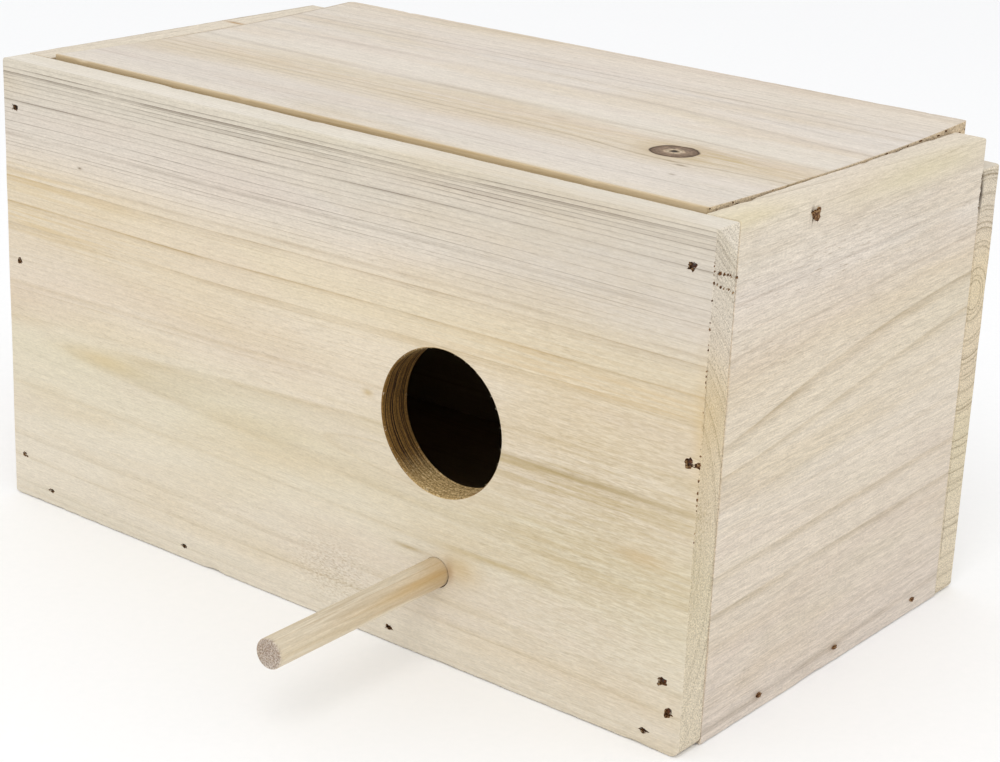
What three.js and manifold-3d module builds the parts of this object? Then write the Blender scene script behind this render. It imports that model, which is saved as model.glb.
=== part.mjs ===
// A cage-bird nesting box: five pine boards butted and bradded together, a dowel perch under a round
// entrance, and a loose lid that swings on two nails driven through the side boards.
//
// Millimetres, +Z up. The origin is the middle of the footprint, on the surface the box stands on.
// +X runs along the box to the right, and the entrance faces -Y.

import * as THREE from "three";
import { mergeVertices } from "three/addons/utils/BufferGeometryUtils.js";
import Module from "manifold-3d";

const wasm = await Module();
wasm.setup();

// ---- driving dimensions -------------------------------------------------------------------------

const LENGTH = 240; // outside, along X
const DEPTH = 136; // outside, along Y, without the perch
const HEIGHT = 131; // to the top of the front and side boards
const BOARD = 9.5; // thickness of every board
const EASE = 0.6; // the sanded arris on every board edge

const ENTRANCE = { x: 43.2, z: 65, radius: 19.3 };
const PERCH = { x: 43.4, z: 25, radius: 4, reach: 61, droopDegrees: 1.1 };

const LID_END_GAP = 0.4; // between each end of the lid and its side board
const LID_FRONT_GAP = 1.3; // between the lid's front edge and the front board
const LID_BACK_SETBACK = 1.8; // of the lid's back edge from the back of the box
const LID_PROUD = 0.1; // of the lid's lowest top line above the side boards
const LID_CUP = { radius: 1500, y: -4 }; // the lid has cupped: its edges have lifted about this line
const LID_REST_GAP = 0.2; // over the back board, where the lid rests

const HINGE_Y = -26.3; // where the two lid nails go through the side boards
const SHIFT = 0.1; // room round a fastener in the wood
const SWING = 0.15; // room round a lid nail in the lid, so that the lid turns on it

// A brad is a flat wire nail with a T head, sunk under the surface.
const BRAD = { wide: 1.2, thick: 1, length: 30, headWide: 2.2, headThick: 1.3, headDeep: 0.9, sunk: 1 };
const LID_NAIL = { radius: 0.9, length: 26, headRadius: 1.5, headDeep: 1, sunk: 0.8 };

// Where the brads go in, as [x, z] on the front and back faces and [y, z] on the side faces.
const FLOOR_LINE = 4.2; // height of the rows driven into the floor board
const FRONT_BRADS = {
  left: [[-115, 117.6], [-114.9, 72.8], [-115.3, 13]],
  right: [[114, 121.5], [117, 75.1], [114, 18.6], [116.2, 11.2]],
  floor: [[-103.6, 4.6], [-48.1, 3.9], [28, FLOOR_LINE], [109.5, 4]],
};
const BACK_BRADS = {
  left: [[-115.2, 110.5], [-114.8, 64], [-115.6, 15.4]],
  right: [[115.4, 112], [114.9, 66.2], [115.2, 14.3]],
  floor: [[-82, 4.4], [-26.5, FLOOR_LINE], [34, 4.5], [84, 4]],
};
const RIGHT_BRADS = [[-33.7, FLOOR_LINE], [2.8, 4.3], [43.8, 4]];
const LEFT_BRADS = [[-35.5, 4], [1.5, 4.4], [42, FLOOR_LINE]];

// ---- dimensions that follow ---------------------------------------------------------------------

const BETWEEN_SIDES = LENGTH - 2 * BOARD;
const BETWEEN_ENDS = DEPTH - 2 * BOARD;
const LID_LENGTH = BETWEEN_SIDES - 2 * LID_END_GAP;
const LID_FRONT = -DEPTH / 2 + BOARD + LID_FRONT_GAP;
const LID_BACK = DEPTH / 2 - LID_BACK_SETBACK;
const LID_ARC_CENTRE = HEIGHT + LID_PROUD + LID_CUP.radius; // height of the axis that the lid curls about

// Height of the lid's upper face (depth 0) or lower face (depth BOARD) at a given y.
function lidHeight(y, depth) {
  const radius = LID_CUP.radius + depth;
  return LID_ARC_CENTRE - Math.sqrt(radius ** 2 - (y - LID_CUP.y) ** 2);
}

const HINGE_Z = lidHeight(HINGE_Y, BOARD / 2);
const BACK_HEIGHT = lidHeight(DEPTH / 2 - BOARD, BOARD) - LID_REST_GAP;

// ---- solids -------------------------------------------------------------------------------------

// A closed three.js geometry as a manifold-3d solid.
function solid(geometry) {
  const bare = geometry.clone();
  bare.deleteAttribute("normal");
  bare.deleteAttribute("uv");
  const merged = mergeVertices(bare, 1e-4);
  return new wasm.Manifold(new wasm.Mesh({
    numProp: 3,
    vertProperties: new Float32Array(merged.attributes.position.array),
    triVerts: new Uint32Array(merged.index.array),
  }));
}

// A manifold-3d solid as a three.js geometry with flat shading.
function geometryOf(made) {
  const mesh = made.getMesh();
  const geometry = new THREE.BufferGeometry();
  geometry.setAttribute("position", new THREE.BufferAttribute(mesh.vertProperties, 3));
  geometry.setIndex(new THREE.BufferAttribute(mesh.triVerts, 1));
  const flat = geometry.toNonIndexed();
  flat.computeVertexNormals();
  return flat;
}

// A flat outline extruded to a plate with an eased arris all round, centred on the origin.
function easedPlate(outline, thickness) {
  const plate = new THREE.ExtrudeGeometry(outline, {
    depth: thickness - 2 * EASE,
    bevelThickness: EASE,
    bevelSize: EASE,
    bevelOffset: -EASE,
    bevelSegments: 2,
    curveSegments: 24,
  });
  return plate.translate(0, 0, EASE - thickness / 2);
}

// A rectangular board, width along X, height along Y and its thickness along Z, centred on the origin.
function easedBoard(width, height) {
  const right = width / 2;
  const top = height / 2;
  const outline = new THREE.Shape();
  outline.moveTo(-right + EASE, -top);
  outline.lineTo(right - EASE, -top);
  outline.lineTo(right, -top + EASE);
  outline.lineTo(right, top - EASE);
  outline.lineTo(right - EASE, top);
  outline.lineTo(-right + EASE, top);
  outline.lineTo(-right, top - EASE);
  outline.lineTo(-right, -top + EASE);
  outline.closePath();
  return easedPlate(outline, BOARD);
}

// The lid's cross-section is two arcs about one axis; it is drawn in Y and Z and runs along X.
function cuppedLid() {
  const outline = new THREE.Shape();
  const angle = (y) => (radius) => -Math.PI / 2 + Math.asin((y - LID_CUP.y) / radius);
  const front = angle(LID_FRONT);
  const back = angle(LID_BACK);
  const upper = LID_CUP.radius;
  const lower = LID_CUP.radius + BOARD;
  outline.absarc(LID_CUP.y, LID_ARC_CENTRE, lower, front(lower), back(lower), false);
  outline.absarc(LID_CUP.y, LID_ARC_CENTRE, upper, back(upper), front(upper), true);
  outline.closePath();
  const lid = easedPlate(outline, LID_LENGTH);
  // Outline x, y and extrusion z become y, z and x.
  return lid.applyMatrix4(new THREE.Matrix4().set(0, 0, 1, 0, 1, 0, 0, 0, 0, 1, 0, 0, 0, 0, 0, 1));
}

// ---- fasteners ----------------------------------------------------------------------------------

// A round or flat fastener lies along its own +Z: its head is at the bottom and its point at the top.
// With room, the same form is the hole for it, and its mouth runs back out through the surface.
function bradForm(room = 0) {
  const { wide, thick, length, headWide, headThick, headDeep, sunk } = BRAD;
  const mouth = room > 0 ? sunk + 1 : 0;
  const headLong = headDeep + mouth + room;
  const head = new THREE.BoxGeometry(headWide + 2 * room, headThick + 2 * room, headLong);
  head.translate(0, 0, sunk - mouth + headLong / 2);
  const outline = new THREE.Shape();
  const half = wide / 2 + room;
  const shoulder = length - 2;
  outline.moveTo(-half, sunk + headDeep / 2);
  outline.lineTo(half, sunk + headDeep / 2);
  outline.lineTo(half, shoulder);
  outline.lineTo(0.2, length + room);
  outline.lineTo(-0.2, length + room);
  outline.lineTo(-half, shoulder);
  outline.closePath();
  const across = thick + 2 * room;
  const shank = new THREE.ExtrudeGeometry(outline, { depth: across, bevelEnabled: false });
  shank.translate(0, 0, -across / 2).rotateX(Math.PI / 2);
  return solid(head).add(solid(shank));
}

function lidNailForm(shankRoom = 0, headRoom = 0) {
  const { radius, length, headRadius, headDeep, sunk } = LID_NAIL;
  const mouth = headRoom > 0 ? sunk + 1 : 0;
  const profile = [
    [0, sunk - mouth],
    [headRadius + headRoom, sunk - mouth],
    [headRadius + headRoom, sunk + headDeep + headRoom],
    [radius + shankRoom, sunk + headDeep + headRoom],
    [radius + shankRoom, length - 2],
    [0, length + shankRoom],
  ];
  const points = profile.map(([r, z]) => new THREE.Vector2(r, z));
  return solid(new THREE.LatheGeometry(points, 24).rotateX(Math.PI / 2));
}

// Which way each face's fasteners are driven, as a turn of their +Z.
const DRIVEN = {
  front: new THREE.Euler(-Math.PI / 2, 0, 0), // +Z to +Y
  back: new THREE.Euler(Math.PI / 2, 0, 0), // +Z to -Y
  left: new THREE.Euler(0, Math.PI / 2, 0), // +Z to +X
  right: new THREE.Euler(0, -Math.PI / 2, 0), // +Z to -X
};

function placeOf(face, across, z) {
  const places = {
    front: [across, -DEPTH / 2, z],
    back: [across, DEPTH / 2, z],
    left: [-LENGTH / 2, across, z],
    right: [LENGTH / 2, across, z],
  };
  const turn = new THREE.Quaternion().setFromEuler(DRIVEN[face]);
  return new THREE.Matrix4().compose(new THREE.Vector3(...places[face]), turn, new THREE.Vector3(1, 1, 1));
}

const fasteners = [];
function drive(prefix, face, spots, boards) {
  spots.forEach(([across, z], i) => {
    fasteners.push({ name: `${prefix}_${i + 1}`, kind: "brad", boards, matrix: placeOf(face, across, z) });
  });
}
drive("brad_front_left", "front", FRONT_BRADS.left, ["front_board", "left_side_board"]);
drive("brad_front_right", "front", FRONT_BRADS.right, ["front_board", "right_side_board"]);
drive("brad_front_floor", "front", FRONT_BRADS.floor, ["front_board", "floor_board"]);
drive("brad_back_left", "back", BACK_BRADS.left, ["back_board", "left_side_board"]);
drive("brad_back_right", "back", BACK_BRADS.right, ["back_board", "right_side_board"]);
drive("brad_back_floor", "back", BACK_BRADS.floor, ["back_board", "floor_board"]);
drive("brad_right_floor", "right", RIGHT_BRADS, ["right_side_board", "floor_board"]);
drive("brad_left_floor", "left", LEFT_BRADS, ["left_side_board", "floor_board"]);
for (const side of ["left", "right"]) {
  fasteners.push({
    name: `lid_nail_${side}`,
    kind: "lidNail",
    boards: [`${side}_side_board`, "lid"],
    matrix: placeOf(side, HINGE_Y, HINGE_Z),
  });
}

// ---- perch --------------------------------------------------------------------------------------

// The dowel goes right through the front board and ends flush inside. Its axis is its own +Z, from the
// inner end outwards, and it droops a little towards its tip.
const PERCH_LENGTH = PERCH.reach + BOARD;
const PERCH_TURN = new THREE.Euler(Math.PI / 2 + THREE.MathUtils.degToRad(PERCH.droopDegrees), 0, 0);
const PERCH_INNER_END = new THREE.Vector3(PERCH.x, -DEPTH / 2 + BOARD, PERCH.z);

function dowel(radius, from, to, ease) {
  const profile = [[0, from], [radius, from], [radius, to - ease], [radius - ease, to], [0, to]];
  const points = profile.map(([r, z]) => new THREE.Vector2(r, z));
  return new THREE.LatheGeometry(points, 48).rotateX(Math.PI / 2);
}

function perchBore() {
  const placed = new THREE.Matrix4().makeRotationFromEuler(PERCH_TURN).setPosition(PERCH_INNER_END);
  return solid(dowel(PERCH.radius + SHIFT, -BOARD, 2 * BOARD, EASE).applyMatrix4(placed));
}

function entranceHole() {
  const hole = new THREE.CylinderGeometry(ENTRANCE.radius, ENTRANCE.radius, 3 * BOARD, 96);
  hole.translate(ENTRANCE.x, -DEPTH / 2 + BOARD / 2, ENTRANCE.z);
  return solid(hole);
}

// ---- the boards ---------------------------------------------------------------------------------

const upright = () => new THREE.Matrix4().makeRotationX(Math.PI / 2); // board height to +Z
const crossways = () => new THREE.Matrix4().makeRotationZ(Math.PI / 2).multiply(upright()); // width to +Y
const sideX = LENGTH / 2 - BOARD / 2;
const frontY = DEPTH / 2 - BOARD / 2;

const boards = {
  front_board: {
    form: () => easedBoard(LENGTH, HEIGHT).applyMatrix4(upright()),
    at: [0, -frontY, HEIGHT / 2],
    cuts: [entranceHole, perchBore],
  },
  back_board: {
    form: () => easedBoard(LENGTH, BACK_HEIGHT).applyMatrix4(upright()),
    at: [0, frontY, BACK_HEIGHT / 2],
  },
  left_side_board: {
    form: () => easedBoard(BETWEEN_ENDS, HEIGHT).applyMatrix4(crossways()),
    at: [-sideX, 0, HEIGHT / 2],
  },
  right_side_board: {
    form: () => easedBoard(BETWEEN_ENDS, HEIGHT).applyMatrix4(crossways()),
    at: [sideX, 0, HEIGHT / 2],
  },
  floor_board: {
    form: () => easedBoard(BETWEEN_SIDES, BETWEEN_ENDS),
    at: [0, 0, BOARD / 2],
  },
  lid: {
    form: cuppedLid,
    at: [0, 0, 0],
  },
};

// The hole that a fastener needs in one board: a lid nail turns freely in the lid and is tight elsewhere.
function fastenerHole(fastener, board) {
  if (fastener.kind === "brad") return bradForm(SHIFT);
  return lidNailForm(board === "lid" ? SWING : SHIFT, SHIFT);
}

// The board's geometry about its own middle, with its fastener holes and its other openings cut.
function cutBoard(name) {
  const { form, at, cuts = [] } = boards[name];
  const toBoard = new THREE.Matrix4().makeTranslation(...at).invert();
  let made = solid(form());
  for (const fastener of fasteners) {
    if (!fastener.boards.includes(name)) continue;
    const placed = toBoard.clone().multiply(fastener.matrix);
    made = made.subtract(fastenerHole(fastener, name).transform(placed.elements));
  }
  for (const cut of cuts) made = made.subtract(cut().transform(toBoard.elements));
  return geometryOf(made);
}

// ---- finishes -----------------------------------------------------------------------------------

const pine = new THREE.MeshStandardMaterial({ color: 0xe3d7c0, roughness: 0.78, metalness: 0 });
const lidPine = new THREE.MeshStandardMaterial({ color: 0xe2d8ca, roughness: 0.78, metalness: 0 });
const dowelWood = new THREE.MeshStandardMaterial({ color: 0xdccba4, roughness: 0.7, metalness: 0 });
const steel = new THREE.MeshStandardMaterial({ color: 0x5a4634, roughness: 0.55, metalness: 1 });

// ---- assembly -----------------------------------------------------------------------------------

function part(name, geometry, material) {
  const mesh = new THREE.Mesh(geometry, material);
  mesh.name = name;
  return mesh;
}

const box = new THREE.Group();

for (const name of Object.keys(boards)) {
  const mesh = part(name, cutBoard(name), name === "lid" ? lidPine : pine);
  mesh.position.set(...boards[name].at);
  box.add(mesh);
}

const perch = part("perch", dowel(PERCH.radius, 0, PERCH_LENGTH, EASE), dowelWood);
perch.rotation.copy(PERCH_TURN);
perch.position.copy(PERCH_INNER_END);
box.add(perch);

const bradGeometry = geometryOf(bradForm());
const lidNailGeometry = geometryOf(lidNailForm());
for (const { name, kind, matrix } of fasteners) {
  const mesh = part(name, kind === "brad" ? bradGeometry : lidNailGeometry, steel);
  matrix.decompose(mesh.position, mesh.quaternion, mesh.scale);
  box.add(mesh);
}

export default box;
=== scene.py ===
# %% [markdown]
# # A softwood nesting box
#
# This lesson dresses a small cage-bird nesting box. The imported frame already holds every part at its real
# size and place: five boards, a lid that swings on two nails, a dowel perch and the brads. The frame is
# plain, so each board is remade here with worn arrises, torn nail holes and the grain of its own log.

# %% Load the frame
import math
import random

import bmesh
import bpy
from mathutils import Matrix, Vector, noise


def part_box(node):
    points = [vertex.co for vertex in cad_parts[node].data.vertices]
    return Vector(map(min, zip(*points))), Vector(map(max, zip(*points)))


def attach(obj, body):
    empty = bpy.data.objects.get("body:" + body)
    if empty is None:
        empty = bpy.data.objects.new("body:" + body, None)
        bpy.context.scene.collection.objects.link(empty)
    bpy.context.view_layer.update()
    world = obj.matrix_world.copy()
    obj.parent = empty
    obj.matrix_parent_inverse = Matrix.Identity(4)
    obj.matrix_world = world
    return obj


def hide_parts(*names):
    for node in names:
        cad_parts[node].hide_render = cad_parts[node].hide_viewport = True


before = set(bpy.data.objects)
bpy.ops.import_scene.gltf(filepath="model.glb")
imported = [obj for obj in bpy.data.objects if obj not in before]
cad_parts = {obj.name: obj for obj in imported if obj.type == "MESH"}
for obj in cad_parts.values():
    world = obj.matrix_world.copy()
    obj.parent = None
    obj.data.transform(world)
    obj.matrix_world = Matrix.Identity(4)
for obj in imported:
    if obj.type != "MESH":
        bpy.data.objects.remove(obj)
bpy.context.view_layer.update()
MM = 0.001  # lengths below are in millimetres, and Blender works in metres


def box_mm(node):
    """The low and the high corner of a CAD node, in millimetres."""
    return [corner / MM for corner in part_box(node)]


# %% [markdown]
# ## Camera
#
# The box is seen from its right-hand front corner and a little from above, through a long lens that keeps
# its edges nearly parallel. A camera looks along its own -Z, so its rotation matrix is built from three
# directions: right, up and back. The small roll leans the box the way a hand-held picture does.

# %% Camera
AIM = Vector((25.1, -21.4, 59.9))
DISTANCE = 614.9
LENS = 82.4
AZIMUTH, ELEVATION, ROLL = (math.radians(a) for a in (37.91, 19.59, 2.46))

back = Vector((
    math.sin(AZIMUTH) * math.cos(ELEVATION),
    -math.cos(AZIMUTH) * math.cos(ELEVATION),
    math.sin(ELEVATION),
))
level = Vector((math.cos(AZIMUTH), math.sin(AZIMUTH), 0))
upright = back.cross(level)
right = level * math.cos(ROLL) + upright * math.sin(ROLL)
up = upright * math.cos(ROLL) - level * math.sin(ROLL)

camera = bpy.data.objects.new("camera", bpy.data.cameras.new("camera"))
camera.data.lens = LENS
camera.data.clip_start = 10 * MM
camera.matrix_world = Matrix((right, up, back)).transposed().to_4x4()
camera.location = (AIM + back * DISTANCE) * MM
bpy.context.collection.objects.link(camera)
bpy.context.scene.camera = camera
print("camera at, mm:", [round(v / MM) for v in camera.location])

# %% [markdown]
# ## Nodes and colours
#
# Every finish below is a small network of shader nodes. One helper adds a node, sets it up and links it, so
# that a network reads as a list of steps. Colours are written as sRGB hex, as a paint program shows them,
# and turned to the linear values that a shader works with.
#
# Inputs are given in the node's own order, or by name or number where some are left alone. A Math node
# works on up to three values. A MapRange moves its first value from the range between the next two to the
# range between the last two, and a colour Mix blends number 6 towards 7 by its factor, number 0.


# %% Node helper and colours
def linear(hexcode):
    """An sRGB hex colour as linear RGBA."""
    channels = [int(hexcode[i:i + 2], 16) / 255 for i in (1, 3, 5)]
    return [c / 12.92 if c < 0.04045 else ((c + 0.055) / 1.055) ** 2.4 for c in channels] + [1.0]


def rgba(shade):
    """A hex colour as linear RGBA, or a number as a plain grey."""
    return linear(shade) if isinstance(shade, str) else (shade, shade, shade, 1)


def plug(node, inputs):
    """Fills a node's inputs, in order or by name. Each takes a link, a value or a hex colour."""
    for socket, value in (inputs.items() if isinstance(inputs, dict) else enumerate(inputs)):
        if isinstance(value, bpy.types.NodeSocket):
            node.id_data.links.new(value, node.inputs[socket])
        else:
            node.inputs[socket].default_value = linear(value) if isinstance(value, str) else value


def add(tree, kind, inputs, output=0, stops=(), **settings):
    """Adds a node, with its operation after a dot, and gives back one output. stops are those of a ramp."""
    kind, _, operation = kind.partition(".")
    made = tree.nodes.new("ShaderNode" + kind)
    if operation:
        made.operation = operation
    for setting, value in settings.items():
        setattr(made, setting, value)
    if stops:
        elements = made.color_ramp.elements
        elements.remove(elements[1])
        elements[0].position = stops[0][0]
        elements[0].color = rgba(stops[0][1])
        for place, shade in stops[1:]:
            elements.new(place).color = rgba(shade)
    plug(made, inputs)
    return made.outputs[output]


def new_material(name):
    """An empty material, with its node tree and its Principled shader."""
    material = bpy.data.materials.new(name)
    material.use_nodes = True
    return material, material.node_tree, material.node_tree.nodes["Principled BSDF"]


def ramp_stops(bands, span):
    """Ramp stops from (millimetres, shade) pairs along a stretch from span[0] to span[1]."""
    start, end = span
    return [((place - start) / (end - start), shade) for place, shade in bands]


LINE_CURVE = 1.7  # above 1 the rise to a line is late and steep
SHARP_SIDE = 0.25  # mm in which a line ends


def line_stops(lines, reach):
    """Ramp stops for dark lines, each (millimetres, darkness, width): a slow rise, then a sharp edge."""
    stops = [(0.0, 0)]
    for place, darkness, width in sorted(lines):
        stops.append((max(place - width, 0) / reach, 0))
        stops.append((place / reach, darkness ** (1 / LINE_CURVE)))
        stops.append(((place + SHARP_SIDE) / reach, 0))
    return stops


# %% [markdown]
# ## Softwood, planed and left bare
#
# A board is cut from a log, and its grain is where the faces cut the log's yearly rings. So the pattern is
# made as a solid: every point asks how far it is from the pith, the log's centre line. Faces, arrises and
# end grain then agree without any unwrapping. The bare wood has no gloss. What the eye reads is the thin
# dark latewood line of each year, sharp on its outer side, over cream wood with slow tan and grey stains.
#
# The distance from the pith is restated as the height on the board's face where the same ring comes out.
# That lets each board's main lines be given by plain heights in millimetres.


# %% Grain space and patterns
AXES = {"front": "xyz", "side": "yxz", "flat": "xzy"}  # along the grain, through the board, across it
RING_REACH = 140  # mm of face height that the ring ramps cover


def grain_space(tree, lie):
    """The point in millimetres and the normal, both turned: x along the grain, y through the board."""
    place = add(tree, "TexCoord", (), "Object")
    mm = add(tree, "VectorMath.SCALE", {0: place, "Scale": 1 / MM})
    normal = add(tree, "TexCoord", (), "Normal")
    turned = []
    for vector in (mm, normal):
        parts = add(tree, "SeparateXYZ", (vector,)).node.outputs
        order = ["xyz".index(axis) for axis in AXES[lie]]
        turned.append(add(tree, "CombineXYZ", [parts[axis] for axis in order]))
    return turned


def pattern(tree, grain, long, wide, seed, detail=2.0, output="Fac"):
    """Smooth noise stretched along the grain: long and wide are the size of its patches in millimetres."""
    sized = add(tree, "VectorMath.MULTIPLY_ADD", (grain, (1 / long, 1 / wide, 1 / wide), (seed,) * 3))
    return add(tree, "TexNoise", {"Vector": sized, "Scale": 1.0, "Detail": detail}, output)


def bell(tree, grain, centre, spread):
    """1 at a point of the board, falling away over spread millimetres on each axis."""
    offset = add(tree, "VectorMath.SUBTRACT", (grain, centre))
    scaled = add(tree, "VectorMath.DIVIDE", (offset, spread))
    squared = add(tree, "VectorMath.DOT_PRODUCT", (scaled, scaled), "Value")
    return add(tree, "Math.POWER", (math.exp(-1), squared))


def tint(tree, colour, shade, amount, blend="MIX"):
    """colour mixed towards a shade by an amount that may vary over the board."""
    return add(tree, "Mix", {0: amount, 6: colour, 7: shade}, 2, data_type="RGBA", blend_type=blend)


def mottled(tree, colour, texture, window, gains):
    """colour made darker and lighter by a texture. window is the part of the texture's range that counts."""
    gain = add(tree, "MapRange", (texture, *window, *gains))
    return add(tree, "VectorMath.SCALE", {0: colour, "Scale": gain})


# %% [markdown]
# ### Growth rings
#
# Rings wander along a tree, climb over a swell and part round a knot. So each point is first moved by slow
# noise and by soft bells, and only then measured from the pith, which may lean against the board. Every log
# below has up to ten main lines, given one by one. The years between them get fine lines: each year's number
# draws how hard its latewood was, and slow noise makes the years wider here and narrower there.


# %% Rings and growth lines
def ring_height(tree, grain, log):
    """The height on the face where a point's ring comes out, and the point's own height after bending."""
    along, depth, height = add(tree, "SeparateXYZ", (grain,)).node.outputs
    wander = pattern(tree, grain, 150, 34, log["seed"], 1.0)
    wander = add(tree, "MapRange", {0: wander, 3: -log["wander"], 4: log["wander"]})
    bent = add(tree, "Math.ADD", (height, wander))
    for centre, spread, rise in log.get("swells", ()):
        lift = bell(tree, grain, centre, spread)
        bent = add(tree, "Math.MULTIPLY_ADD", (lift, -rise, bent))
    if "knot" in log:
        centre, radius = log["knot"]
        part = bell(tree, grain, centre, (radius * 3.2, 40, radius * 1.7))
        off = add(tree, "Math.SUBTRACT", (bent, centre[2]))
        pulled = add(tree, "Math.MULTIPLY", (part, off))
        bent = add(tree, "Math.MULTIPLY_ADD", (pulled, -0.8, bent))

    pith_height, pith_depth = log["pith"]
    lean_depth, lean_height = log["lean"]
    up_off = add(tree, "Math.MULTIPLY_ADD", (along, -lean_height, bent))
    up_off = add(tree, "Math.SUBTRACT", (up_off, pith_height))
    in_off = add(tree, "Math.MULTIPLY_ADD", (along, -lean_depth, depth))
    in_off = add(tree, "Math.SUBTRACT", (in_off, pith_depth))
    radial = add(tree, "CombineXYZ", {1: in_off, 2: up_off})
    square = add(tree, "VectorMath.DOT_PRODUCT", (radial, radial), "Value")
    beyond = add(tree, "Math.SUBTRACT", (square, log["nearest"] ** 2))
    beyond = add(tree, "Math.MAXIMUM", (beyond, 0.0))
    return add(tree, "Math.SQRT", (beyond,)), bent


def growth_lines(tree, ring, log):
    """The main latewood lines, and the fine ones between them, as 0 to about 1."""
    place = add(tree, "Math.DIVIDE", (ring, RING_REACH))
    main = add(tree, "ValToRGB", (place,), stops=line_stops(log["lines"], RING_REACH))
    main = add(tree, "Math.POWER", (main, LINE_CURVE))
    drift = pattern(tree, add(tree, "CombineXYZ", {1: ring}), 1, 9, log["seed"] + 3, 1.0)
    years = add(tree, "Math.DIVIDE", (ring, log["ring_width"]))
    years = add(tree, "Math.MULTIPLY_ADD", (drift, 4.0, years))
    year = add(tree, "Math.FLOOR", (years,))
    season = add(tree, "Math.FRACT", (years,))
    fine = add(tree, "ValToRGB", (season,), stops=[(0, 0), (0.6, 0.04), (0.84, 0.3), (0.93, 1), (1, 0)])
    hard_year = add(tree, "TexWhiteNoise", {"W": year}, "Value", noise_dimensions="1D")
    hard_year = add(tree, "MapRange", {0: hard_year, 3: 0.15, 4: 1.15})
    return main, add(tree, "Math.MULTIPLY", (fine, hard_year))


# %% [markdown]
# ### Stains, fibres and sawn ends
#
# Between its lines the wood has three more layers. Slow stains are tan where resin lies and faintly green or
# pink where sap did. Fibres are 0.3 mm wide, with short dark flecks where the planer tore a row of cells.
# A sawn end cuts across the fibres, so it is speckled with open pores and shows the rings as thin lines.


# %% Stains, fibres and ends
STAINS = (("#cfb583", 0.30), ("#cfcab0", 0.16), ("#d8c6b8", 0.30))  # resin, green and pink, with strengths


def stained(tree, grain, colour, seed):
    """Slow soft stains, one to each colour channel of a noise."""
    patches = add(tree, "SeparateColor", (pattern(tree, grain, 90, 15, seed + 7, 3.0, "Color"),)).node
    for channel, (shade, strength) in zip(patches.outputs, STAINS):
        patch = add(tree, "MapRange", {0: channel, 1: 0.50, 2: 0.74, 4: strength})
        colour = tint(tree, colour, shade, patch)
    return colour


def fibrous(tree, grain, colour, log):
    """Fibres, streaks, grit and torn flecks. Gives back the colour, the fibre pattern and the torn rows."""
    seed = log["seed"]
    fibre = pattern(tree, grain, 4, 0.28, seed + 11, 3.0)
    streak = pattern(tree, grain, 45, 1.1, seed + 13, 3.0)
    grit = pattern(tree, grain, 0.9, 0.30, seed + 15, 2.0)
    for texture, contrast in ((fibre, 0.13), (streak, 0.05), (grit, 0.11)):
        contrast *= log["fibre"]
        colour = mottled(tree, colour, texture, (0.3, 0.7), (1 - contrast, 1 + 0.4 * contrast))
    torn_row = add(tree, "MapRange", (pattern(tree, grain, 4.2, 0.26, seed + 17, 2.0), 0.64, 0.74))
    fleck_zone = add(tree, "MapRange", (pattern(tree, grain, 60, 22, seed + 19), 0.42, 0.68))
    fleck = add(tree, "Math.MULTIPLY", (torn_row, fleck_zone))
    fleck = add(tree, "Math.MULTIPLY", (fleck, 0.4 * log["fibre"]))
    return tint(tree, colour, "#8f7651", fleck), fibre, torn_row


def sawn_end(tree, grain, tone, rings, lines, log):
    """The colour and the relief of an end that was sawn across the fibres."""
    pores = pattern(tree, grain, 0.9, 0.30, log["seed"] + 23, 3.0)
    crowded = add(tree, "Math.MULTIPLY_ADD", (lines, 0.16, pores))
    open_pore = add(tree, "MapRange", (crowded, 0.57, 0.66))
    colour = tint(tree, tone, log["end_shade"], 1.0, "MULTIPLY")
    rings = add(tree, "Math.MULTIPLY", (rings, log["end_rings"]), use_clamp=True)
    colour = tint(tree, colour, "#857049", rings)
    grit = pattern(tree, grain, 0.6, 0.42, log["seed"] + 27, 2.0)
    colour = mottled(tree, colour, grit, (0.3, 0.7), (0.74, 1.24))
    pore_shade = add(tree, "Math.MULTIPLY", (open_pore, 0.55))
    colour = tint(tree, colour, "#6f5c3e", pore_shade)
    return colour, add(tree, "Math.MULTIPLY", (open_pore, -2.2))


# %% [markdown]
# ### The whole finish
#
# The layers now go together. Ramps over the height of the face say where the wood is cream, tan or grey,
# what colour its lines have and how strong they are. The faces inside the box were left as sawn and are
# darkened: partly their greyer sawn colour, partly painted shade for the dark inside of the box. One relief
# value drives the bump: fibres and standing latewood on the faces, pores on the ends.


# %% Softwood
# the inner faces are darkened from here in: partly sawn colour, partly painted shade for the inside of the
# box
INNER_FACE = (9.1, 9.4)  # mm in from the outer face: where the unplaned inner face begins


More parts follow.
